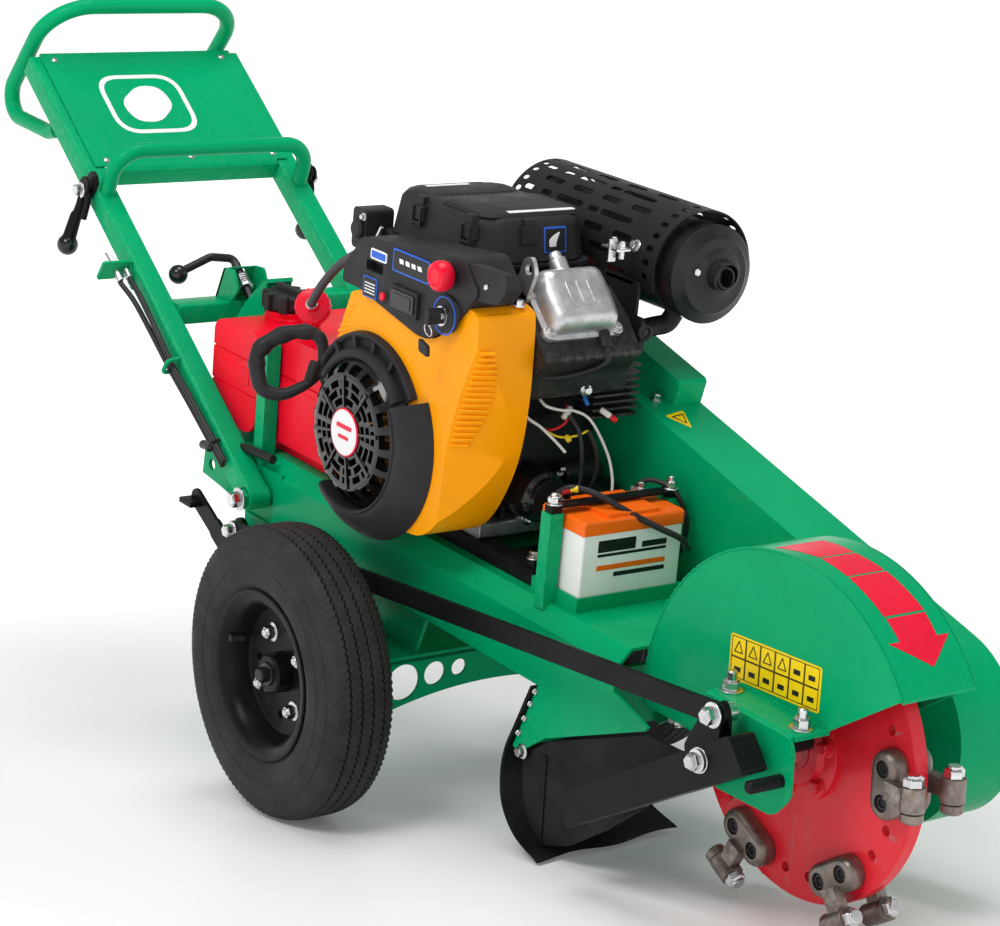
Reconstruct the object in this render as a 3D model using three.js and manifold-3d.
// Two-wheel stump grinder with a petrol V-twin engine, driven by belts to a toothed cutting disc.
// Units are millimetres, +Z is up and +X points towards the cutter; +Y is the belt side.
// The chassis is drawn level in its own frame, whose origin is the wheel axle, and then pitched nose down.
import * as THREE from 'three';
import { mergeVertices, toCreasedNormals } from 'three/addons/utils/BufferGeometryUtils.js';
import Module from 'manifold-3d';

const wasm = await Module();
wasm.setup();

// ---------------------------------------------------------------- driving dimensions
const DEG = Math.PI / 180;
const GAP = 0.4;                    // clearance between parts that touch
const TYRE_R = 200;                 // tyre outside radius, also the axle height
const TYRE_HALF = 49;               // half of the tyre width
const RIM_R = 117;                  // rim flange radius
const WHEEL_Y = 288;                // middle of each tyre
const PITCH = 10.03 * DEG;         // nose-down pitch with a cutter tooth on the ground

const PAN_TOP = 193;                // engine deck
const PAN_HALF = 150;               // half width of the deck
const WALL = 4;                     // chassis sheet thickness
const PAN_REAR = -480;
const PAN_FRONT = 520;

const CUT_X = 757;                  // cutter shaft
const CUT_Z = 143.5;
const DISC_R = 188;
const DISC_Y = -40;                 // middle of the disc
const DISC_T = 20;
const TOOTH_ORBIT = 206;            // radius at which the cutting bolts sit
const TOOTH_SETS = 6;
const TOOTH_START = 5.5;            // angle of the first tooth set, in degrees
const SHAFT_R = 17.5;

const GUARD_R = 241;                // cutter guard drum
const GUARD_Z = 143;
const GUARD_NEAR = -100;
const GUARD_FAR = 14;

const CRANK_X = 15;                 // engine crankshaft
const CRANK_Z = 334;
const PULLEY_DRIVE_R = 62;
const PULLEY_CUT_R = 78;
const BELT_NEAR = 108;
const BELT_FAR = 162;
const BELT_T = 10;
const BOX_NEAR = 90;                // belt guard
const BOX_FAR = 182;
const BOX_R = 118;

const RAIL_Y = 172;                 // handlebar rails
const RAIL_W = 35;
const PIVOT = [-305, 139];          // handlebar height pivot
const RAIL_TOP = [-1050, 636];

const ARM_PIVOT = [756, 153];       // curtain lift arm
const LINK_LEVER = [5, 56];         // from a lever's pivot to its link pin
const PEDAL_PIVOT = [-330, 29];

// ---------------------------------------------------------------- materials
const paint = (name, color, roughness, metalness = 0) =>
  new THREE.MeshStandardMaterial({ name, color, roughness, metalness });
const GREEN = [0x00a366, 0.3, 0.1];
const BLACK_STEEL = [0x1c1c1e, 0.5, 0.2];
const BLACK_PLASTIC = [0x242427, 0.6, 0];
const ORANGE = [0xff9a14, 0.4, 0];
const ZINC = [0xc4c7c9, 0.3, 0.9];
const CAST = [0x8f8c88, 0.5, 0.8];
const ALUMINIUM = [0xd0d1d2, 0.35, 0.9];
const RED_PAINT = [0xc2182a, 0.35, 0.1];
const RED_PLASTIC = [0xd9263c, 0.4, 0];
const RUBBER = [0x3a3838, 0.85, 0];

// ---------------------------------------------------------------- solid helpers
const toSolid = (geometry) => {
  const bare = geometry.clone();
  bare.deleteAttribute('normal');
  bare.deleteAttribute('uv');
  const merged = mergeVertices(bare, 1e-4);
  const corners = merged.index.array;
  const build = (flip) => {
    const triangles = [];
    for (let i = 0; i < corners.length; i += 3) {
      const [a, b, c] = [corners[i], corners[i + 1], corners[i + 2]];
      if (a !== b && b !== c && c !== a) triangles.push(...(flip ? [a, c, b] : [a, b, c]));
    }
    return new wasm.Manifold(new wasm.Mesh({
      numProp: 3,
      vertProperties: new Float32Array(merged.attributes.position.array),
      triVerts: new Uint32Array(triangles),
    }));
  };
  const solid = build(false);
  return solid.volume() < 0 ? build(true) : solid;
};

const move = (solid, x, y, z) => solid.translate([x, y, z]);
const join = (...solids) => solids.flat().reduce((sum, next) => sum.add(next));
const cut = (solid, ...tools) => tools.flat().reduce((left, tool) => left.subtract(tool), solid);

const box = (x0, x1, y0, y1, z0, z1) => {
  const geometry = new THREE.BoxGeometry(x1 - x0, y1 - y0, z1 - z0);
  geometry.translate((x0 + x1) / 2, (y0 + y1) / 2, (z0 + z1) / 2);
  return toSolid(geometry);
};

// Round bars along one axis: (a, b) is the centre in the other two axes, in x, y, z order.
const rodY = (r, x, z, y0, y1, sides = 20, r2 = r) => {
  const geometry = new THREE.CylinderGeometry(r2, r, y1 - y0, sides);
  geometry.translate(x, (y0 + y1) / 2, z);
  return toSolid(geometry);
};
const rodZ = (r, x, y, z0, z1, sides = 20, r2 = r) => {
  const geometry = new THREE.CylinderGeometry(r2, r, z1 - z0, sides);
  geometry.rotateX(Math.PI / 2);
  geometry.translate(x, y, (z0 + z1) / 2);
  return toSolid(geometry);
};
const rodX = (r, y, z, x0, x1, sides = 20, r2 = r) => {
  const geometry = new THREE.CylinderGeometry(r2, r, x1 - x0, sides);
  geometry.rotateZ(-Math.PI / 2);
  geometry.translate((x0 + x1) / 2, y, z);
  return toSolid(geometry);
};

// A plate with an outline in X and Z, from y0 to y1. The outline is a THREE.Shape or a list of [x, z].
const shapeOf = (outline) =>
  outline instanceof THREE.Shape ? outline : new THREE.Shape(outline.map(([a, b]) => new THREE.Vector2(a, b)));
const plateXZ = (outline, y0, y1, curveSegments = 6) => {
  const geometry = new THREE.ExtrudeGeometry(shapeOf(outline), { depth: y1 - y0, bevelEnabled: false, curveSegments });
  geometry.rotateX(Math.PI / 2);
  geometry.translate(0, y1, 0);
  return toSolid(geometry);
};
const plateXY = (outline, z0, z1, curveSegments = 6) => {
  const geometry = new THREE.ExtrudeGeometry(shapeOf(outline), { depth: z1 - z0, bevelEnabled: false, curveSegments });
  geometry.translate(0, 0, z0);
  return toSolid(geometry);
};
// A plate with an outline in Y and Z, from x0 to x1.
const plateYZ = (outline, x0, x1, curveSegments = 6) => {
  const geometry = new THREE.ExtrudeGeometry(shapeOf(outline), { depth: x1 - x0, bevelEnabled: false, curveSegments });
  geometry.rotateZ(Math.PI / 2);
  geometry.rotateY(Math.PI / 2);
  geometry.translate(x0, 0, 0);
  return toSolid(geometry);
};
// A straight strip with round ends between two points of the XZ plane.
const stripXZ = (p, q, width, y0, y1, segments = 5) => {
  const length = Math.hypot(q[0] - p[0], q[1] - p[1]);
  const shape = new THREE.Shape();
  shape.absarc(0, 0, width / 2, Math.PI / 2, Math.PI * 1.5, false);
  shape.absarc(length, 0, width / 2, -Math.PI / 2, Math.PI / 2, false);
  const angle = Math.atan2(q[1] - p[1], q[0] - p[0]) / DEG;
  return move(turnY(plateXZ(shape, y0, y1, segments), angle), p[0], 0, p[1]);
};
// Turn about the Y axis through the origin, positive from +X towards +Z.
const turnY = (solid, degrees) => solid.rotate([0, -degrees, 0]);
const turnYAt = (solid, degrees, x, z) => move(turnY(move(solid, -x, 0, -z), degrees), x, 0, z);

// Turned part about the Y axis: profile is a list of [radius, y], closed on itself or on the axis.
const turned = (profile, x, z, segments = 40) => {
  const points = profile.map(([r, y]) => new THREE.Vector2(r, y));
  const geometry = new THREE.LatheGeometry(points, segments);
  return move(toSolid(geometry), x, 0, z);
};

// A path through points whose corners are rounded with arcs; rings sit exactly at the listed stations.
class RoundedPath extends THREE.Curve {
  constructor(corners, bend, turnStep = 22) {
    super();
    const at = corners.map((p) => new THREE.Vector3(...p));
    this.stations = [at[0]];
    for (let i = 1; i < at.length - 1; i += 1) {
      const back = at[i - 1].clone().sub(at[i]);
      const ahead = at[i + 1].clone().sub(at[i]);
      const spare = Math.min(back.length(), ahead.length()) * 0.49;
      back.normalize();
      ahead.normalize();
      const half = back.angleTo(ahead) / 2;
      const wanted = Array.isArray(bend) ? bend[i - 1] : bend;
      const reach = Math.min(wanted / Math.tan(half), spare);
      const radius = reach * Math.tan(half);
      const inward = back.clone().add(ahead).normalize();
      const centre = at[i].clone().addScaledVector(inward, radius / Math.sin(half));
      const from = at[i].clone().addScaledVector(back, reach).sub(centre);
      const to = at[i].clone().addScaledVector(ahead, reach).sub(centre);
      const sweep = from.angleTo(to);
      const steps = Math.max(2, Math.ceil(sweep / DEG / turnStep));
      for (let k = 0; k <= steps; k += 1) {
        const t = (k / steps) * sweep;
        const point = from.clone().multiplyScalar(Math.sin(sweep - t))
          .addScaledVector(to, Math.sin(t)).divideScalar(Math.sin(sweep)).add(centre);
        this.stations.push(point);
      }
    }
    this.stations.push(at[at.length - 1]);
  }
  getPoint(t, target = new THREE.Vector3()) {
    const place = t * (this.stations.length - 1);
    const i = Math.min(Math.floor(place + 1e-9), this.stations.length - 2);
    return target.lerpVectors(this.stations[i], this.stations[i + 1], Math.min(1, Math.max(0, place - i)));
  }
  getPointAt(u, target) {
    return this.getPoint(u, target);
  }
  getTangentAt(u, target = new THREE.Vector3()) {
    const last = this.stations.length - 1;
    const i = Math.round(u * last);
    const before = this.stations[Math.max(0, i - 1)];
    const here = this.stations[i];
    const after = this.stations[Math.min(last, i + 1)];
    const into = here.clone().sub(before).normalize();
    const out = after.clone().sub(here).normalize();
    return target.copy(into.add(out)).normalize();
  }
}
const sweep = (shape, corners, bend, curveSegments = 12, turnStep = 22) => {
  const path = new RoundedPath(corners, bend, turnStep);
  return toSolid(new THREE.ExtrudeGeometry(shape, {
    steps: path.stations.length - 1,
    extrudePath: path,
    curveSegments,
    bevelEnabled: false,
  }));
};
const tube = (radius, corners, bend = 30, sides = 12, turnStep = 22) => {
  const circle = new THREE.Shape();
  circle.absarc(0, 0, radius, 0, Math.PI * 2, false);
  return sweep(circle, corners, bend, sides / 2, turnStep);
};
const mirrorY = (solid) => solid.mirror([0, 1, 0]);
// A hexagon bolt head with its washer on a face that looks along -Y (side -1) or +Y (side 1).
const boltY = (x, z, face, side, r = 7, reach = 0) => {
  const a = Math.min(face - side * reach, face + side * r * 1.1);
  const b = Math.max(face - side * reach, face + side * r * 1.1);
  const w0 = Math.min(face, face + side * 2);
  const w1 = Math.max(face, face + side * 2);
  return join(rodY(r, x, z, a, b, 6), rodY(r * 1.35, x, z, w0, w1, 14));
};
const boltZ = (x, y, face, r = 7, reach = 1) =>
  join(rodZ(r, x, y, face - reach, face + r * 1.1, 6), rodZ(r * 1.35, x, y, face - reach, face + 2, 14));

// ---------------------------------------------------------------- scene graph
const group = new THREE.Group();
group.name = 'stump_grinder';
const machine = new THREE.Group();  // everything, with the ground under the axle as its origin
machine.name = 'machine';
group.add(machine);
const chassis = new THREE.Group();
chassis.name = 'chassis';
chassis.position.set(0, 0, TYRE_R);
chassis.rotation.y = PITCH;
machine.add(chassis);
const handlebar = new THREE.Group();
handlebar.name = 'handlebar';
handlebar.position.set(PIVOT[0], 0, PIVOT[1]);
chassis.add(handlebar);

const place = (parent, name, solid, [color, roughness, metalness], origin = [0, 0, 0]) => {
  const data = move(solid, -origin[0], -origin[1], -origin[2]).getMesh();
  const geometry = new THREE.BufferGeometry();
  geometry.setAttribute('position', new THREE.BufferAttribute(data.vertProperties, 3));
  geometry.setIndex(new THREE.BufferAttribute(data.triVerts, 1));
  const mesh = new THREE.Mesh(toCreasedNormals(geometry, 0.6), paint(name, color, roughness, metalness));
  mesh.name = name;
  mesh.position.set(...origin);
  parent.add(mesh);
  return mesh;
};
const onChassis = (name, solid, material, origin) => place(chassis, name, solid, material, origin);
const onAxle = (name, solid, material) => {
  const mesh = place(machine, name, solid, material);
  mesh.position.set(0, 0, TYRE_R);
  return mesh;
};
const onHandlebar = (name, solid, material, origin = [0, 0, 0]) => {
  const mesh = place(handlebar, name, solid, material, origin);
  mesh.position.set(origin[0] - PIVOT[0], origin[1], origin[2] - PIVOT[1]);
  return mesh;
};

// ---------------------------------------------------------------- chassis frame
const SHOULDER = 22;
const panSection = [
  [-PAN_HALF, 93], [-PAN_HALF, PAN_TOP - SHOULDER], [-PAN_HALF + SHOULDER, PAN_TOP],
  [PAN_HALF - SHOULDER, PAN_TOP], [PAN_HALF, PAN_TOP - SHOULDER], [PAN_HALF, 93],
  [PAN_HALF - WALL, 93], [PAN_HALF - WALL, PAN_TOP - SHOULDER - 2], [PAN_HALF - SHOULDER - 2, PAN_TOP - WALL],
  [SHOULDER + 2 - PAN_HALF, PAN_TOP - WALL], [WALL - PAN_HALF, PAN_TOP - SHOULDER - 2], [WALL - PAN_HALF, 93],
];
const BELT_BAY = [75, 84];           // the deck stops at this Y ahead of this X, to clear the belt guard
const deck = cut(plateYZ(panSection, PAN_REAR, PAN_FRONT),
  box(BELT_BAY[0], PAN_FRONT + 1, BELT_BAY[1], PAN_HALF + 1, 80, 200));
const pan = join(deck,
  box(BELT_BAY[0] - WALL, PAN_FRONT, BELT_BAY[1] - WALL, BELT_BAY[1], 93, PAN_TOP),
  box(BELT_BAY[0] - WALL, BELT_BAY[0], BELT_BAY[1] - WALL, PAN_HALF - 1, 93, 170));
const rearTaper = plateXZ([[PAN_REAR - 1, 92], [-335, 92], [PAN_REAR - 1, 128]], -PAN_HALF - 1, PAN_HALF + 1);
// Chute: side plates below the deck, ahead of the wheels, and the sloping plate between them.
const chuteOutline = [[373, 101], [329, -4], [341, -10], [394, 30], [588, 114], [592, 120], [PAN_FRONT, 140]];
const chuteNear = plateXZ(chuteOutline, -PAN_HALF, WALL - PAN_HALF);
const chuteFar = plateXZ(chuteOutline, BELT_BAY[1] - WALL, BELT_BAY[1]);
const chuteBack = plateXZ([[373, 101], [329, -4], [334, -6], [378, 99]], -PAN_HALF, BELT_BAY[1]);
// Bracket for the pedal pivot, under the near wall.
const pedalBracket = plateXZ([[-352, 10], [-308, 10], [-300, 100], [-360, 100]], -PAN_HALF - GAP * 10, -PAN_HALF + 2);
const pedalPin = rodY(8, ...PEDAL_PIVOT, -184, -PAN_HALF, 14);
// Ears that hold the handlebar, and their pivot bolts.
const ears = [-1, 1].map((side) => {
  const face = side * PAN_HALF;
  const inner = Math.min(face, face - side * 6);
  const outer = Math.max(face, face - side * 6);
  return join(
    plateXZ([[-495, 118], [-490, 165], [-330, 178], [-270, 178], [-262, 110], [-330, 96], [-440, 112]], inner, outer),
    rodY(10, ...PIVOT, Math.min(face - side * 8, side * (RAIL_Y + 26)), Math.max(face - side * 8, side * (RAIL_Y + 26)), 14),
    rodY(15, ...PIVOT, Math.min(side * (RAIL_Y + 18), side * (RAIL_Y + 26)), Math.max(side * (RAIL_Y + 18), side * (RAIL_Y + 26)), 6),
  );
});
const earHoles = rodY(9, -469, 137, -PAN_HALF - 10, PAN_HALF + 10, 14);
// Box with a curved, drilled rear plate that the handlebar lock plunger drops into, behind the fuel tank.
const LOCK_R = 328;                  // outside radius of the curved plate about the handlebar pivot
const LOCK_ANGLE = 140;              // direction of the plunger from the pivot
const LOCK_STEPS = [-8, 0, 8];
const PIN_Y = -40;
const lockArc = new THREE.Shape();
lockArc.absarc(...PIVOT, LOCK_R, 124 * DEG, 151.5 * DEG, false);
lockArc.absarc(...PIVOT, LOCK_R - 6, 151.5 * DEG, 124 * DEG, true);
const lockHoles = LOCK_STEPS.map((step) => turnYAt(
  rodX(8, PIN_Y, PIVOT[1], PIVOT[0] + LOCK_R - 20, PIVOT[0] + LOCK_R + 20, 12), LOCK_ANGLE + step, ...PIVOT));
const lockSide = [[-470, 150], [-484, 150], [-572, 268], [-588, 297], [-548, 361], [-489, 406], [-494, 240], [-470, 190]];
const lockPlate = join(
  plateXZ(lockArc, -62, -18),
  plateXZ(lockSide, -62, -58),
  plateXZ(lockSide, -22, -18),
  box(-499, -494, -62, -18, 236, 404),
  box(-484, -470, -62, -18, 150, 160),
);
const tankPost = plateYZ([[-152, 170], [-130, 188], [-130, 356], [-152, 356]], -350, -326);
const batteryPosts = join(
  box(330, 350, -139, -119, 186, 312),
  box(332, 350, 49.5, 67.5, 190, 312),
);
const batteryTray = cut(box(296, 393, -118.9, 49.6, PAN_TOP - 1, 212), box(299, 390, -115.4, 46, PAN_TOP + 3, 230));
const risers = join(
  plateXZ([[-60, 24], [60, 24], [95, 120], [-95, 120]], -126, -120),
  plateXZ([[-60, 24], [60, 24], [95, 120], [-95, 120]], 120, 126),
  box(-95, 95, -148, -120, 114, 120),
  box(-95, 95, 120, 148, 114, 120),
);
const lightening = [[-200, 20], [200, 20]].map(([x, r]) => rodZ(r, x, 0, 150, 200, 20));
onChassis('chassis_frame', cut(
  join(cut(pan, rearTaper), chuteNear, chuteFar, chuteBack, pedalBracket, pedalPin, ears, lockPlate,
    tankPost, batteryPosts, batteryTray, risers),
  earHoles, lightening, lockHoles,
), GREEN);

// ---------------------------------------------------------------- axle
const beamHoles = [[148, -14, 26], [97, -8, 17], [57, -5, 12]].flatMap(([y, z, r]) =>
  [-1, 1].map((side) => rodX(r, side * y, z, 40, 100, 14)));
const beamLip = new THREE.Shape();
beamLip.moveTo(-222, 24);
beamLip.lineTo(222, 24);
beamLip.lineTo(222, -52);
beamLip.lineTo(165, -52);
beamLip.quadraticCurveTo(0, -8, -165, -52);
beamLip.lineTo(-222, -52);
const axleBeam = cut(join(
  box(-70, 70, -222, 222, 20, 23.6),
  plateYZ(beamLip, 66, 70, 8),
  box(-70, -66, -222, 222, -20, 23.6),
  box(-66, 66, -222, -216, -30, 23.6),
  box(-66, 66, 216, 222, -30, 23.6),
), beamHoles, rodY(16.2, 0, 0, -230, 230, 20));
onChassis('axle_beam', axleBeam, GREEN);
onChassis('axle_shaft', join(rodY(15.5, 0, 0, -326, 326, 16), rodY(24, 0, 0, -247, -222.4, 14), rodY(24, 0, 0, 222.4, 247, 14)), ZINC);

// ---------------------------------------------------------------- wheels
const tyreHalf = [[200, -22], [192, -42], [168, -TYRE_HALF], [132, -48], [117.6, -43.6], [98.2, -36]];
const tyreProfile = [...tyreHalf, ...tyreHalf.map(([r, y]) => [r, -y]).reverse(), tyreHalf[0]];
// Rim section: a dished disc near the outer face inside a drum with a flange at each end.
const rimDish = turned([
  [16.2, -40], [28, -40], [29, -8], [86, -8], [94, -36], [108, -47.4], [RIM_R, -47.4], [RIM_R, -44],
  [110, -44], [97.6, -36.6], [97.6, 36.6], [110, 44], [RIM_R, 44], [RIM_R, 47.4], [108, 47.4],
  [94, 36], [94, -3], [28, -3], [28, 36], [16.2, 36], [16.2, -40],
], 0, 0, 20);
const LUG_CIRCLE = 56;
const lugs = [0, 1, 2, 3].map((i) => {
  const a = (45 + 90 * i) * DEG;
  return rodY(10, LUG_CIRCLE * Math.cos(a), LUG_CIRCLE * Math.sin(a), -20, -7, 6);
});
const rimHoles = [0, 1, 2, 3].map((i) => {
  const a = 90 * i * DEG;
  return rodY(6, 68 * Math.cos(a), 68 * Math.sin(a), -20, 10, 8);
});
for (const [name, side] of [['near', -1], ['far', 1]]) {
  const seat = (solid) => move(side < 0 ? solid : mirrorY(solid), 0, side * WHEEL_Y, 0);
  onAxle(`tyre_${name}`, seat(turned(tyreProfile, 0, 0, 40)), RUBBER);
  onAxle(`rim_${name}`, seat(join(cut(rimDish, rimHoles), lugs)), BLACK_STEEL);
}

// ---------------------------------------------------------------- cutter guard and belt guard
const drumArc = (radius, from, to) => {
  const shape = new THREE.Shape();
  shape.absarc(CUT_X, GUARD_Z, radius, from * DEG, to * DEG, false);
  return shape;
};
const FRONT_ANGLE = 35;
const REAR_ANGLE = 186;
const drumOuter = drumArc(GUARD_R, FRONT_ANGLE, REAR_ANGLE);
drumOuter.lineTo(PAN_FRONT - 4, 116);
drumOuter.lineTo(686, 116);
drumOuter.lineTo(686, 199);
drumOuter.lineTo(838, 199);
const drumInner = drumArc(GUARD_R - 3, FRONT_ANGLE - 2, REAR_ANGLE);
drumInner.lineTo(PAN_FRONT - 1, 110);
drumInner.lineTo(1010, 110);
const guardShell = cut(
  plateXZ(drumOuter, GUARD_NEAR, GUARD_FAR, 22),
  plateXZ(drumInner, GUARD_NEAR + 3, GUARD_FAR - 3, 22),
);
// Bracket of folded plate in front of the drum that carries the near bearing.
const bracketSide = [[722, 98], [829, 103], [854, 134], [848, 191], [840, 206], [744, 206]];
const bracket = join(
  box(690, 846, -154, GUARD_NEAR + 1, 199, 206),
  plateXZ([[690, 120], [690, 206], [696, 206], [696, 120]], -150, GUARD_NEAR + 1),
  box(690, 744, -154, -150, 170, 206),
  plateXZ(bracketSide, -154, -150),
  box(690, 846, GUARD_NEAR - 1, GUARD_NEAR + 3, 196, 203),
);
const studHoles = [703, 828].map((x) => rodZ(8, x, -125, 190, 215, 10));
const armPin = rodY(9, ...ARM_PIVOT, -213, -151, 12);
const stopPeg = rodY(8, 836, 150, -204, -151, 10);
const farCheek = plateXZ([[640, 116], [640, 60], [800, 60], [850, 116], [850, 199], [640, 199]], GUARD_FAR - 3, GUARD_FAR + 3);
const shaftHole = rodY(SHAFT_R + 12, CUT_X, CUT_Z, GUARD_FAR - 10, GUARD_FAR + 10, 16);
onChassis('cutter_guard', cut(join(guardShell, bracket, armPin, stopPeg, farCheek), studHoles, shaftHole), GREEN);

const SLOPE = Math.atan2(CRANK_Z - CUT_Z, CUT_X - CRANK_X);
const SPAN = Math.hypot(CRANK_Z - CUT_Z, CUT_X - CRANK_X);
const capsule = (r0, r1) => {
  const shape = new THREE.Shape();
  shape.absarc(0, 0, r0, Math.PI / 2, Math.PI * 1.5, false);
  shape.absarc(SPAN, 0, r1, -Math.PI / 2, Math.PI / 2, false);
  return shape;
};
const alongBelt = (solid) => move(turnY(solid, -SLOPE / DEG), CRANK_X, 0, CRANK_Z);
const upperBox = box(-110, 200, 135, BOX_FAR, 100, BOX_R + 36);
const upperHollow = box(-107, 197, 138, BOX_FAR - 3, 90, BOX_R + 33);
const beltGuard = cut(
  join(plateXZ(capsule(BOX_R, BOX_R), BOX_NEAR, BOX_FAR, 10), upperBox),
  plateXZ(capsule(BOX_R - 3, BOX_R - 3), BOX_NEAR + 3, BOX_FAR - 3, 10),
  upperHollow,
  rodY(34, 0, 0, BOX_NEAR - 5, BOX_NEAR + 10, 16),
  rodY(34, SPAN, 0, BOX_NEAR - 5, BOX_NEAR + 10, 16),
);
onChassis('belt_guard', join(alongBelt(beltGuard), boltY(231, 403, BOX_FAR - 4, 1, 7)), GREEN);

// ---------------------------------------------------------------- cutter
const disc = cut(join(
  rodY(DISC_R, CUT_X, CUT_Z, DISC_Y - DISC_T / 2, DISC_Y + DISC_T / 2, 48),
  rodY(62, CUT_X, CUT_Z, DISC_Y - DISC_T / 2 - 8, DISC_Y + DISC_T / 2 + 8, 24),
), rodY(SHAFT_R + GAP, CUT_X, CUT_Z, -80, 60, 20));
const polar = (r, degrees) => [CUT_X + r * Math.cos(degrees * DEG), CUT_Z + r * Math.sin(degrees * DEG)];
const spareHoles = [];
for (let i = 0; i < TOOTH_SETS; i += 1) {
  const middle = TOOTH_START + 60 * i + 30;
  spareHoles.push(rodY(6.5, ...polar(157, middle - 7.5), -60, 20, 6));
  spareHoles.push(rodY(6.5, ...polar(157, middle + 7.5), -60, 20, 6));
}
// Each tooth set is a pair of pockets, one on each face, clamped through the disc by two screws.
const SCREW_R = 155;
const SCREW_SPREAD = 7.5;
const screwAt = (angle, side) => polar(SCREW_R, angle + side * SCREW_SPREAD);
const toothSet = (angle) => {
  const pieces = [];
  for (const face of [-1, 1]) {
    const inner = DISC_Y + face * (DISC_T / 2 + GAP);
    const y0 = Math.min(inner, inner + face * 22);
    const y1 = Math.max(inner, inner + face * 22);
    pieces.push(stripXZ(screwAt(angle, -1), screwAt(angle, 1), 42, y0, y1, 2));
    const middle = DISC_Y + face * 32;
    const arm = turnYAt(box(CUT_X + 160, CUT_X + TOOTH_ORBIT, middle - 8, middle + 8, CUT_Z - 10, CUT_Z + 12),
      angle, CUT_X, CUT_Z);
    const cutterBolt = turnYAt(join(
      rodZ(11, CUT_X + TOOTH_ORBIT, middle, CUT_Z - 18, CUT_Z + 26, 6),
      rodZ(13, CUT_X + TOOTH_ORBIT, middle, CUT_Z - 27, CUT_Z - 16, 8),
    ), angle, CUT_X, CUT_Z);
    pieces.push(arm, cutterBolt);
  }
  for (const side of [-1, 1]) {
    pieces.push(rodY(6, ...screwAt(angle, side), DISC_Y - 36, DISC_Y + 36, 5));
  }
  return join(pieces);
};
const screwHoles = [];
for (let i = 0; i < TOOTH_SETS; i += 1) {
  for (const side of [-1, 1]) {
    screwHoles.push(rodY(7.8, ...screwAt(TOOTH_START + 60 * i, side), -60, 20, 6));
  }
}
onChassis('cutter_disc', cut(disc, spareHoles, screwHoles), RED_PAINT, [CUT_X, 0, CUT_Z]);
for (let i = 0; i < TOOTH_SETS; i += 1) {
  onChassis(`tooth_set_${i + 1}`, toothSet(TOOTH_START + 60 * i), CAST, [CUT_X, 0, CUT_Z]);
}
onChassis('cutter_shaft', join(
  rodY(SHAFT_R, CUT_X, CUT_Z, -146, 170, 16),
  rodY(27, CUT_X, CUT_Z, -90, DISC_Y - DISC_T / 2 - 8 - GAP, 12),
  rodY(27, CUT_X, CUT_Z, DISC_Y + DISC_T / 2 + 8 + GAP, 8, 12),
), ZINC, [CUT_X, 0, CUT_Z]);
const vPulley = (r, bore, x, z) => {
  const profile = [[bore, BELT_NEAR + 2]];
  const ribs = 2;
  const pitch = (BELT_FAR - BELT_NEAR - 4) / ribs;
  for (let i = 0; i < ribs; i += 1) {
    const y = BELT_NEAR + 2 + pitch * i;
    profile.push([r, y], [r, y + 1.5], [r - 9, y + pitch * 0.32], [r - 9, y + pitch * 0.68], [r, y + pitch - 1.5]);
  }
  profile.push([r, BELT_FAR - 2], [bore, BELT_FAR - 2], [bore, BELT_NEAR + 2]);
  return turned(profile, x, z, 20);
};
onChassis('driven_pulley', vPulley(PULLEY_CUT_R, SHAFT_R + GAP, CUT_X, CUT_Z), CAST, [CUT_X, 0, CUT_Z]);
onChassis('drive_pulley', join(
  vPulley(PULLEY_DRIVE_R, 14, CRANK_X, CRANK_Z),
  rodY(14.5, CRANK_X, CRANK_Z, 84, 168, 14),
), CAST, [CRANK_X, 0, CRANK_Z]);
const drivenSlack = PULLEY_CUT_R + 0.8;
const driveSlack = PULLEY_DRIVE_R + 0.8;
const beltLoop = (grow) => {
  const lean = Math.asin((drivenSlack - driveSlack) / SPAN);
  const shape = new THREE.Shape();
  shape.absarc(0, 0, driveSlack + grow, Math.PI / 2 + lean, Math.PI * 1.5 - lean, false);
  shape.absarc(SPAN, 0, drivenSlack + grow, -Math.PI / 2 - lean, Math.PI / 2 + lean, false);
  return shape;
};
onChassis('drive_belt', alongBelt(cut(
  plateXZ(beltLoop(6), BELT_NEAR + 4, BELT_FAR - 4, 12),
  plateXZ(beltLoop(0), BELT_NEAR, BELT_FAR, 12),
)), RUBBER);
// Pillow-block bearings for the cutter shaft: hung under the bracket, and bolted beside the guard.
const bearingNear = cut(join(
  rodY(44, CUT_X, CUT_Z, -144, -106, 20),
  box(698, 834, -144, -106, 178, 198.6),
  plateXZ([[716, 150], [798, 150], [814, 180], [704, 180]], -142, -108),
  rodZ(7, 703, -125, 180, 232, 10), rodZ(7, 828, -125, 180, 232, 10),
  rodZ(11.5, 703, -125, 206.4, 218, 6), rodZ(11.5, 828, -125, 206.4, 218, 6),
), rodY(SHAFT_R + GAP, CUT_X, CUT_Z, -160, -100, 16));
onChassis('bearing_near', bearingNear, CAST);
const bearingFar = cut(join(
  rodY(50, CUT_X, CUT_Z, GUARD_FAR + 3 + GAP, 60, 20),
  plateXZ([[690, 98], [824, 98], [824, 190], [690, 190]], GUARD_FAR + 3 + GAP, 34),
), rodY(SHAFT_R + GAP, CUT_X, CUT_Z, 0, 100, 16));
onChassis('bearing_far', bearingFar, CAST);

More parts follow.
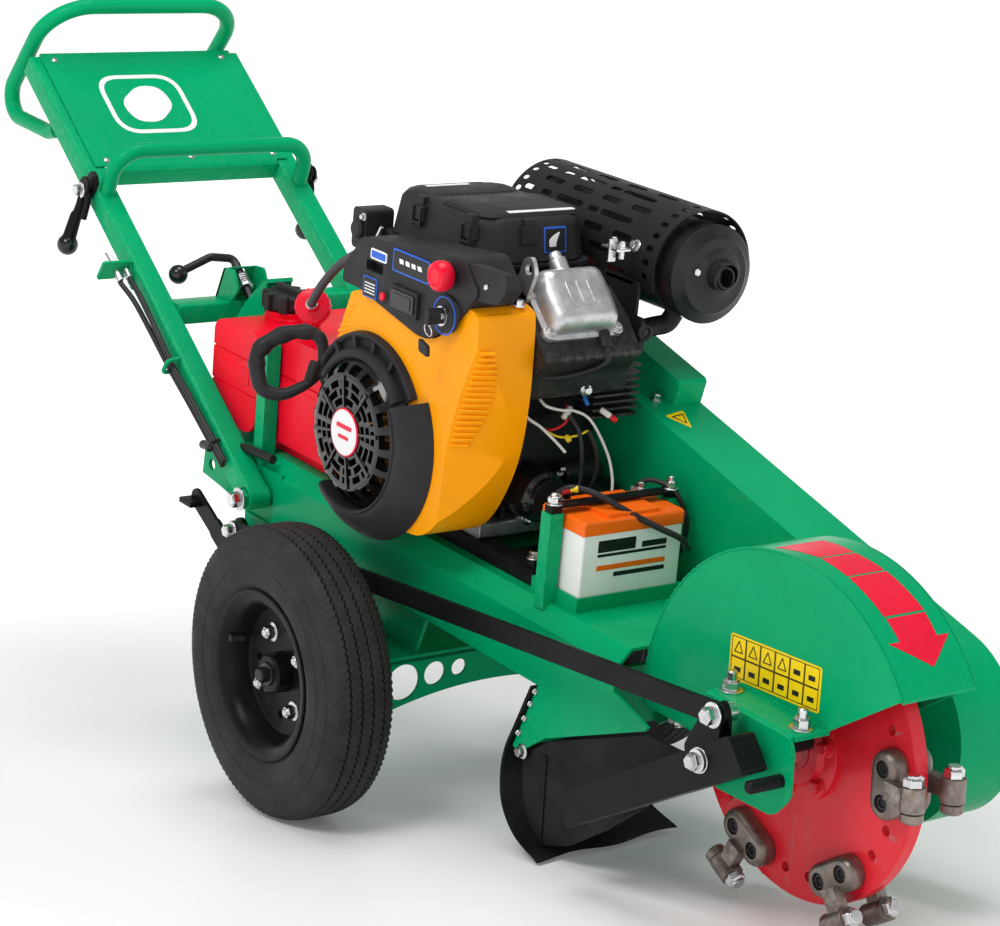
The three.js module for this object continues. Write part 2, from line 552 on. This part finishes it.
// ---------------------------------------------------------------- curtain linkage
const pinAt = (pivot) => [pivot[0] + LINK_LEVER[0], pivot[1] + LINK_LEVER[1]];
const ARM_PIN = pinAt(ARM_PIVOT);
const PEDAL_PIN = pinAt(PEDAL_PIVOT);
const ARM_AXIS = Math.atan2(-18 - 155, 504 - 784) / DEG;
const armTube = cut(
  turnYAt(box(784 - 26, 784 + 330, -208, -170, 155 - 27, 155 + 27), ARM_AXIS, 784, 155),
  turnYAt(box(784, 784 + 318, -204.5, -173.5, 155 - 23.5, 155 + 23.5), ARM_AXIS, 784, 155),
);
const armLever = [-197, -184].map((y) => join(
  plateXZ([[716, 152], [775, 178], [772, 196], [761, 224], [748, 205]], y, y + 5),
  stripXZ(ARM_PIN, ARM_PIN, 30, y, y + 5, 4),
));
const supportArm = join(
  cut(join(armTube, plateXZ([[716, 150], [775, 180], [778, 150], [740, 120]], -197, -179)),
    turnYAt(box(784 + 24, 784 + 318, -204.5, -173.5, 155 - 23.5, 155 + 23.5), ARM_AXIS, 784, 155)),
  armLever,
);
onChassis('support_arm', cut(supportArm, rodY(9.5, ...ARM_PIVOT, -220, -150, 16), rodY(7.5, ...ARM_PIN, -220, -150, 12)),
  BLACK_STEEL, [ARM_PIVOT[0], 0, ARM_PIVOT[1]]);
const linkBar = cut(join(
  stripXZ(PEDAL_PIN, ARM_PIN, 28, -191.6, -184.4, 4),
  rodY(7, ...ARM_PIN, -199, -177, 12),
  rodY(11, ...ARM_PIN, -205, -197.4, 6), rodY(11, ...ARM_PIN, -178.6, -172, 6),
), rodY(7.5, ...PEDAL_PIN, -200, -170, 14));
onChassis('link_bar', linkBar, BLACK_STEEL, [ARM_PIN[0], 0, ARM_PIN[1]]);
const pedal = cut(join(
  stripXZ(PEDAL_PIVOT, PEDAL_PIN, 34, -182, -176, 4),
  stripXZ(PEDAL_PIVOT, [-395, 62], 34, -182, -176, 4),
  stripXZ([-395, 62], [-455, 92], 30, -182, -176, 4),
  box(-470, -440, -200, -176, 84, 92),
  rodY(7, ...PEDAL_PIN, -193.5, -176, 12),
  rodY(11, ...PEDAL_PIN, -199, -192.1, 6),
), rodY(8.6, ...PEDAL_PIVOT, -200, -170, 14));
onChassis('pedal_lever', pedal, BLACK_STEEL, [PEDAL_PIVOT[0], 0, PEDAL_PIVOT[1]]);

// ---------------------------------------------------------------- rubber flap and side curtain
const flapProfile = [[370, 91], [330, 0], [322, -40], [334, -84], [372, -113], [426, -124.4]];
const flapStrip = (thickness) => [
  ...flapProfile, ...flapProfile.map(([x, z]) => [x - thickness * 0.8, z - thickness * 0.45]).reverse(),
];
onChassis('rubber_flap', cut(
  move(plateXZ(flapStrip(6), -158, 60), -4, 0, -1.6),
), RUBBER);
const curtainOutline = [[344, -14], [396, 26], [586, 108], [690, 112], [701, 83], [600, 28], [452, -84], [400, -112], [372, -96], [352, -60]];
onChassis('side_curtain', plateXZ(curtainOutline, -145.4, -140.6), BLACK_PLASTIC);

// ---------------------------------------------------------------- engine
onChassis('engine_mount', join(
  box(-80, 290, -112, -84, PAN_TOP + GAP, 214),
  box(-80, 290, 44, 72, PAN_TOP + GAP, 214),
  box(-80, -52, -112, 72, PAN_TOP + GAP, 212),
  box(200, 228, -112, 72, PAN_TOP + GAP, 212),
  [-66, 270].flatMap((x) => [-98, 58].map((y) => rodZ(9, x, y, 210, 224, 6))),
), BLACK_STEEL);
const crankcase = join(
  plateXZ([[-72, 229], [-96, 300], [-80, 372], [-10, 425], [60, 425], [130, 372], [150, 300], [128, 229]], -108, 82),
  box(-50, 150, -106, 70, 214.4, 230),
  rodY(60, CRANK_X, CRANK_Z, 70, 84, 24),
);
const crankClear = rodY(15.5, CRANK_X, CRANK_Z, 60, 100, 20);
const twist = (solid, degrees) => move(turnY(solid, degrees), CRANK_X, 0, CRANK_Z);
const cylinder = (degrees, y0, y1, far) => {
  const pieces = [box(110, 250, y0 + 14, y1 - 14, -48, 48)];
  for (let i = 0; i < 8; i += 1) {
    pieces.push(box(122 + 16 * i, 127 + 16 * i, y0, y1, -66, 66));
  }
  pieces.push(box(249, far, y0 + 4, y1 - 4, -64, 64));
  return twist(join(pieces), degrees);
};
const valveCover = (degrees, y0, y1, far) => {
  const mid = (y0 + y1) / 2;
  const half = (y1 - y0) / 2 - 11;
  const outline = [[-45, -half], [45, -half], [51, 0], [45, half], [-45, half], [-51, 0]];
  const shell = toSolid(new THREE.ExtrudeGeometry(shapeOf(outline), {
    depth: 26, bevelEnabled: true, bevelSize: 9, bevelThickness: 9, bevelOffset: -9, bevelSegments: 2,
  }));
  const flange = toSolid(new THREE.ExtrudeGeometry(shapeOf(outline.map(([a, b]) => [a * 1.1, b * 1.1])), {
    depth: 5, bevelEnabled: false,
  }));
  const cover = join(move(shell, 0, 0, 10), flange);
  return twist(move(cover.rotate([0, 90, 0]), far, mid, 0), degrees);
};
const FRONT_Y = [-100, 20];
const REAR_Y = [-50, 66];
const FRONT_HEAD = 292;
const REAR_HEAD = 268;
onChassis('crankcase', cut(crankcase, crankClear), CAST);
// Air shroud below the front head, and the finned charge regulator beside it.
const shroud = plateXZ([[165, 424], [243, 424], [262, 476], [238, 470], [200, 440]], -93, 16);
const regulator = [box(170, 240, -26, 42, 402, 470)];
for (let i = 0; i < 7; i += 1) {
  regulator.push(box(239, 257, -30, 46, 402 + 11 * i, 406 + 11 * i));
}
const frontCylinder = join(cylinder(44, ...FRONT_Y, FRONT_HEAD), shroud, regulator);
onChassis('front_cylinder', cut(frontCylinder, twist(rodY(112, 0, 0, -120, 100, 20), 0)), BLACK_STEEL);
onChassis('rear_cylinder', cut(cylinder(134, ...REAR_Y, REAR_HEAD), twist(rodY(112, 0, 0, -120, 100, 20), 0)), BLACK_STEEL);
onChassis('front_valve_cover', valveCover(44, ...FRONT_Y, FRONT_HEAD + GAP), ALUMINIUM);
onChassis('rear_valve_cover', valveCover(134, ...REAR_Y, REAR_HEAD + GAP), ALUMINIUM);

const housing = new THREE.Shape();
housing.moveTo(-66, 300);
housing.lineTo(-80, 392);
housing.lineTo(-50, 508);
housing.lineTo(-20, 516);
housing.lineTo(138, 490);
housing.lineTo(180, 512);
housing.lineTo(232, 556);
housing.lineTo(246, 540);
housing.lineTo(248, 430);
housing.quadraticCurveTo(246, 340, 198, 268);
housing.quadraticCurveTo(160, 224, 109, 224);
housing.lineTo(-30, 224);
const blowerOuter = plateXZ(housing, -200, -110, 8);
const fanEye = rodY(92, CRANK_X, CRANK_Z, -240, -150, 32);
const slantedFlank = plateXY([[203, -202], [252, -202], [252, -125]], 220, 560);
onChassis('blower_housing', cut(blowerOuter, fanEye, slantedFlank, box(-40, 200, -190, -105, 240, 480).intersect(
  rodY(128, CRANK_X, CRANK_Z, -190, -105, 24))), ORANGE);
const skirtShape = new THREE.Shape();
skirtShape.absarc(CRANK_X + 16, CRANK_Z, 143, -125 * DEG, 32 * DEG, false);
skirtShape.absarc(CRANK_X, CRANK_Z, 96, 32 * DEG, -125 * DEG, true);
const ventSlots = [];
for (let i = 0; i < 4; i += 1) {
  const a = 90 * i + 45;
  ventSlots.push(turnYAt(box(CRANK_X + 44, CRANK_X + 70, -260, -225, CRANK_Z - 5, CRANK_Z + 5), a, CRANK_X, CRANK_Z));
}
const recoil = cut(join(
  turned([[0, -234], [78, -234], [84, -230], [92, -218], [106, -209], [110, -200.4], [98, -200.4], [95, -204],
    [82, -212], [74, -227], [0, -227]], CRANK_X, CRANK_Z, 24),
  plateXZ(skirtShape, -214, -200.4, 8),
), ventSlots);
onChassis('recoil_cover', recoil, BLACK_PLASTIC);

// Loop handle of the pull cord: the grip, the bridge the cord is tied to, and the end of the cord.
const loopAt = [-165, -214, 365];
const loopCorners = [
  [-143, -181, 373], [-145, -174, 391], [-154, -177, 415], [-172, -197, 421], [-188, -224, 410], [-195, -243, 391],
  [-193, -250, 365], [-181, -247, 341], [-165, -227, 335], [-150, -200, 349], [-144, -186, 362],
];
onChassis('pull_handle', join(
  tube(8.5, loopCorners, 18, 8, 60),
  tube(9, [[-143, -179, 377], [-144, -188, 358]], 5, 8),
  tube(3.5, [[-143, -182, 367], [-130, -178, 346], [-112, -184, 338]], 10, 6),
), BLACK_PLASTIC, loopAt);

const PANEL_NEAR = -206;
const panelOutline = [[-62, 520], [-58, 545], [-18, 584], [60, 592], [214, 610], [250, 572], [180, 516.5], [138, 495],
  [-20, 520]];
const keyAt = [184, 533];
const chokeAt = [188, 586];
onChassis('control_panel', cut(join(
  plateXZ(panelOutline, PANEL_NEAR, -138),
  box(-8, 130, PANEL_NEAR - 2, -200, 552, 582),
  box(52, 100, PANEL_NEAR - 4, -200, 516, 540),
), rodY(6, ...keyAt, PANEL_NEAR - 10, -180, 14), rodY(8, ...chokeAt, PANEL_NEAR - 10, -150, 14)), BLACK_PLASTIC);
onChassis('choke_knob', join(
  turned([[0, -236], [17, -236], [20, -232], [20, -224], [16, -216], [9, -210.4], [0, -210.4]], ...chokeAt, 24),
  rodY(7, ...chokeAt, -212, -170, 12),
), RED_PLASTIC, [chokeAt[0], 0, chokeAt[1]]);
onChassis('ignition_key', join(
  rodY(5.4, ...keyAt, -222, -190, 12),
  rodY(12, ...keyAt, -214, -206.6, 18),
  plateXZ([[keyAt[0] - 2.5, keyAt[1] - 11], [keyAt[0] + 2.5, keyAt[1] - 11], [keyAt[0] + 2.5, keyAt[1] + 11],
    [keyAt[0] - 2.5, keyAt[1] + 11]], -238, -214),
), ZINC, [keyAt[0], 0, keyAt[1]]);

// Air filter: tray and lift-off lid.
const rounded = (x0, x1, y0, y1, r) => {
  const shape = new THREE.Shape();
  shape.moveTo(x0 + r, y0);
  shape.lineTo(x1 - r, y0);
  shape.lineTo(x1, y0 + r);
  shape.lineTo(x1, y1 - r);
  shape.lineTo(x1 - r, y1);
  shape.lineTo(x0 + r, y1);
  shape.lineTo(x0, y1 - r);
  shape.lineTo(x0, y0 + r);
  return shape;
};
onChassis('air_filter_base', join(
  plateXY(rounded(-88, 126, -118, 58, 24), 556, 578),
  plateXY(rounded(-94, 132, -124, 64, 26), 571, 578),
  rodZ(30, 10, -66, 480, 558, 16),
), BLACK_PLASTIC);
const lidShape = rounded(-84, 122, -114, 54, 26);
const lidSolid = toSolid(new THREE.ExtrudeGeometry(lidShape, {
  depth: 44, bevelEnabled: true, bevelSize: 10, bevelThickness: 12, bevelSegments: 2,
}));
onChassis('air_filter_lid', cut(
  join(move(lidSolid, 0, 0, 580), box(-30, -4, -134, -118, 580, 608), box(70, 96, -134, -118, 580, 608),
    box(122, 138, -60, -34, 580, 608)),
  box(-200, 200, -200, 200, 550, 578.4),
), BLACK_PLASTIC);

// ---------------------------------------------------------------- muffler
const MUF_Y = 150;
const MUF_Z = 583;
const mufflerShell = join(
  rodX(64, MUF_Y, MUF_Z, -80, 266, 24),
  rodX(60, MUF_Y, MUF_Z, 264, 278, 24, 52),
  rodX(17, MUF_Y + 6, MUF_Z + 4, 274, 296, 12),
);
onChassis('muffler_body', cut(mufflerShell,
  rodX(61, MUF_Y, MUF_Z, -77, 262, 24),
  rodX(14, MUF_Y + 6, MUF_Z + 4, 258, 300, 12),
), BLACK_STEEL);
const shieldShape = new THREE.Shape();
shieldShape.absarc(MUF_Y, MUF_Z, 80, -48 * DEG, 198 * DEG, false);
shieldShape.absarc(MUF_Y, MUF_Z, 78, 198 * DEG, -48 * DEG, true);
const slots = [];
for (let row = 0; row < 3; row += 1) {
  for (let column = 0; column < 4; column += 1) {
    const slot = box(-76 + column * 80, -26 + column * 80, MUF_Y + 60, MUF_Y + 90, MUF_Z - 6, MUF_Z + 6);
    slots.push(move(move(slot, 0, -MUF_Y, -MUF_Z).rotate([20 + 50 * row, 0, 0]), 0, MUF_Y, MUF_Z));
  }
}
onChassis('muffler_shield', join(
  cut(plateYZ(shieldShape, -92, 248, 12), slots),
), BLACK_STEEL);
onChassis('exhaust_pipe', join(
  tube(13, [[224, 66, 500], [218, 84, 502], [216, 106, 503], [220, 122, 506], [222, 130, 511]], 18, 10),
  box(206, 244, 60, 68, 476, 524),
), BLACK_STEEL);

onChassis('oil_filter', join(rodX(36, -52, 286, 151, 222, 20), rodX(30, -52, 286, 220, 230, 20)), BLACK_STEEL);
onChassis('starter_motor', join(
  rodY(30, 190, 262, -10, 80, 18),
  rodY(14, 190, 304, -4, 58, 12),
  box(182, 198, 0, 50, 285, 300),
  box(151, 170, 10, 40, 250, 274),
), BLACK_STEEL);

// ---------------------------------------------------------------- fuel tank
const TANK_BEVEL = 12;
const tankBlock = (outline, halfWidth) => toSolid(new THREE.ExtrudeGeometry(shapeOf(outline), {
  depth: 2 * (halfWidth - TANK_BEVEL), bevelEnabled: true, bevelSize: TANK_BEVEL, bevelOffset: -TANK_BEVEL,
  bevelThickness: TANK_BEVEL, bevelSegments: 2,
}).rotateX(Math.PI / 2).translate(0, halfWidth - TANK_BEVEL, 0));
const tankRear = [[-486, 266], [-486, 350], [-472, 362], [-372, 366], [-358, 354], [-358, 228], [-376, 212],
  [-404, 212], [-474, 252]];
const tankFront = [[-440, 230], [-440, 350], [-420, 364], [-180, 374], [-168, 362], [-168, 222], [-182, 212],
  [-420, 212]];
const CAP_AT = [-438, -52];
const FILTER_AT = [-312, -90];
const tank = join(
  tankBlock(tankRear, 148),
  tankBlock(tankFront, 126),
  box(-400, -190, -110, 110, PAN_TOP + GAP, 216),
  rodZ(34, ...CAP_AT, 350, 377, 20),
  rodZ(14, ...FILTER_AT, 350, 384.8, 12),
);
onChassis('fuel_tank', tank, RED_PLASTIC);
onChassis('fuel_cap', join(rodZ(39, ...CAP_AT, 377.5, 400, 20), box(CAP_AT[0] - 36, CAP_AT[0] + 36, CAP_AT[1] - 7, CAP_AT[1] + 7, 396, 412)),
  BLACK_PLASTIC, [CAP_AT[0], CAP_AT[1], 377]);
const tilted = (solid) => move(solid.rotate([0, 69.5, 0]).rotate([0, 0, -39.8]), ...FILTER_AT, 414);
onChassis('vapour_filter', tilted(join(rodZ(26, 0, 0, -12, 12, 20), rodZ(9, 0, 0, 10, 19, 12))), RED_PLASTIC);
onChassis('fuel_hose', tube(7, [[-295.9, -103.4, 421.8], [-284, -112, 428.5], [-240, -114, 486], [-124, -128, 548], [-66, -134, 556]],
  30, 8), RUBBER);

// ---------------------------------------------------------------- battery
const batteryTop = 318;
onChassis('battery', join(
  box(300, 389, -114.5, 45, PAN_TOP + 3.4, batteryTop - 26),
  box(299.6, 389.6, -115, 45.6, 213, batteryTop - 6),
  box(304, 385, -76, 8, batteryTop - 8, batteryTop),
  box(302, 322, -110, -93, batteryTop - 8, batteryTop + 6),
  box(302, 322, 24, 41, batteryTop - 8, batteryTop + 6),
), [0xe9e9e6, 0.45, 0]);
onChassis('battery_clamp', join(
  box(332, 350, -137, 66, batteryTop + GAP, batteryTop + 5),
  box(332, 350, -137, -121, 312 + GAP, batteryTop + 1), box(334, 348, 51, 66, 312 + GAP, batteryTop + 1),
  boltZ(341, 58, batteryTop + 5, 7), boltZ(341, -129, batteryTop + 5, 7),
), BLACK_STEEL);

// ---------------------------------------------------------------- handlebar
const railAngle = Math.atan2(RAIL_TOP[1] - PIVOT[1], RAIL_TOP[0] - PIVOT[0]) / DEG;
const railLength = Math.hypot(RAIL_TOP[1] - PIVOT[1], RAIL_TOP[0] - PIVOT[0]);
const onRail = (solid) => move(turnY(solid, railAngle), PIVOT[0], 0, PIVOT[1]);
const half = RAIL_W / 2;
const rails = [-1, 1].map((side) => {
  const y = side * RAIL_Y;
  return cut(onRail(join(
    box(0, railLength, y - half, y + half, -half, half),
    rodY(half, 0, 0, y - half, y + half, 16),
  )), rodY(10.5, ...PIVOT, y - 30, y + 30, 16));
});
const lockPoint = (r) => [PIVOT[0] + r * Math.cos(LOCK_ANGLE * DEG), PIVOT[1] + r * Math.sin(LOCK_ANGLE * DEG)];
const onLock = (solid) => move(turnY(solid, LOCK_ANGLE), PIVOT[0], 0, PIVOT[1]);
const railPoint = (s, lift = 0) => {
  const a = railAngle * DEG;
  return [PIVOT[0] + s * Math.cos(a) + lift * Math.sin(a), PIVOT[1] + s * Math.sin(a) - lift * Math.cos(a)];
};
const crossbar = box(-627, -583, -RAIL_Y, RAIL_Y, 323, 353);
const lowerBar = tube(12, [[-800, -RAIL_Y, 462], [-768, -RAIL_Y, 552], [-768, RAIL_Y, 552], [-800, RAIL_Y, 462]], 45, 12);
const bracketCheek = [[-627, 351], [-604, 402], [-577, 402], [-563, 374], [-583, 351]];
const plungerBracket = cut(join(
  plateXZ(bracketCheek, PIN_Y - 28, PIN_Y - 24),
  plateXZ(bracketCheek, PIN_Y + 24, PIN_Y + 28),
  plateXZ([[-627, 351], [-604, 402], [-599, 402], [-621, 351]], PIN_Y - 28, PIN_Y + 28),
), onLock(rodX(9.5, PIN_Y, 0, 330, 430, 14)));
const cableBracket = onRail(box(448, 456, -RAIL_Y - 62, -RAIL_Y - half + 2, -14, 16));
onHandlebar('handle_frame', join(rails, crossbar, lowerBar, plungerBracket, cableBracket), GREEN);
onHandlebar('top_handle', join(
  tube(12.5, [[-968, -RAIL_Y, 546], [-1000, -RAIL_Y, 538], [-1172, -RAIL_Y, 543], [-1008, -RAIL_Y, 735],
    [-1008, RAIL_Y, 735], [-1172, RAIL_Y, 543], [-1000, RAIL_Y, 538], [-968, RAIL_Y, 546]],
    [24, 34, 75, 75, 34, 24], 8, 26),
), GREEN);
const panelPlane = (solid) => onRail(solid);
onHandlebar('console_panel', panelPlane(join(
  box(railLength - 236, railLength + 4, -RAIL_Y - 1, RAIL_Y + 1, -half - GAP - 3, -half - GAP),
)), GREEN);

// Brake levers: a pivoted lever with a ball on each rail.
const leverAt = [-815, 484];
for (const [name, side] of [['near', -1], ['far', 1]]) {
  const face = side * (RAIL_Y + half + GAP);
  const y0 = Math.min(face, face + side * 8);
  const y1 = Math.max(face, face + side * 8);
  const out = side * (RAIL_Y + half + 12);
  const lever = join(
    stripXZ([-815, 484], [-800, 500], 30, y0, y1, 4),
    tube(6, [[-812, out, 486], [-818, out + side * 6, 440], [-828, out + side * 12, 410]], 14, 8),
    move(toSolid(new THREE.SphereGeometry(14, 10, 6)), -830, out + side * 13, 400),
    tube(9, [[-806, out, 492], [-800, out + side * 4, 530]], 10, 8),
    boltY(...leverAt, side * (RAIL_Y + half + 8), side, 9, 2),
  );
  onHandlebar(`brake_lever_${name}`, lever, BLACK_PLASTIC, [leverAt[0], 0, leverAt[1]]);
}
// Spring plunger that locks the handlebar height, drawn back, with a cranked handle and ball.
onHandlebar('lock_plunger', join(
  onLock(rodX(7, PIN_Y, 0, LOCK_R + 2, 412, 10)),
  onLock(rodX(12.5, PIN_Y, 0, 364, 369, 12)),
  tube(6, [[...lockPoint(408)], [...lockPoint(414)]].map(([x, z]) => [x, PIN_Y, z]).concat(
    [[-628, -72, 412], [-635, -112, 397], [-637, -122, 391]]), 12, 8),
  move(toSolid(new THREE.SphereGeometry(15, 10, 6)), -638, -128, 387),
), ZINC, [-616, 0, 381]);
onHandlebar('lock_spring', onLock(cut(
  rodX(11.5, PIN_Y, 0, 369.4, 385, 14), rodX(8, PIN_Y, 0, 360, 400, 10),
)), ZINC);
onHandlebar('brake_cables', join(
  tube(4.2, [railPoint(446, 0), railPoint(420, -8), railPoint(380, -2), railPoint(60, -2)].map(([x, z]) => [x, -RAIL_Y - half - 12, z]), 20, 6),
  tube(4.2, [railPoint(446, 12), railPoint(420, 10), railPoint(380, 8), railPoint(60, 8)].map(([x, z]) => [x, -RAIL_Y - half - 14, z]), 20, 6),
  onRail(box(250, 262, -RAIL_Y - half - 20, -RAIL_Y - half - GAP, -16, 10)),
  onRail(box(90, 102, -RAIL_Y - half - 20, -RAIL_Y - half - GAP, -16, 10)),
), BLACK_PLASTIC);

// The exported origin is the middle of the footprint, on the ground.
const bounds = new THREE.Box3().setFromObject(machine, true);
const centre = bounds.getCenter(new THREE.Vector3());
machine.position.set(-centre.x, -centre.y, -bounds.min.z);

export default group;
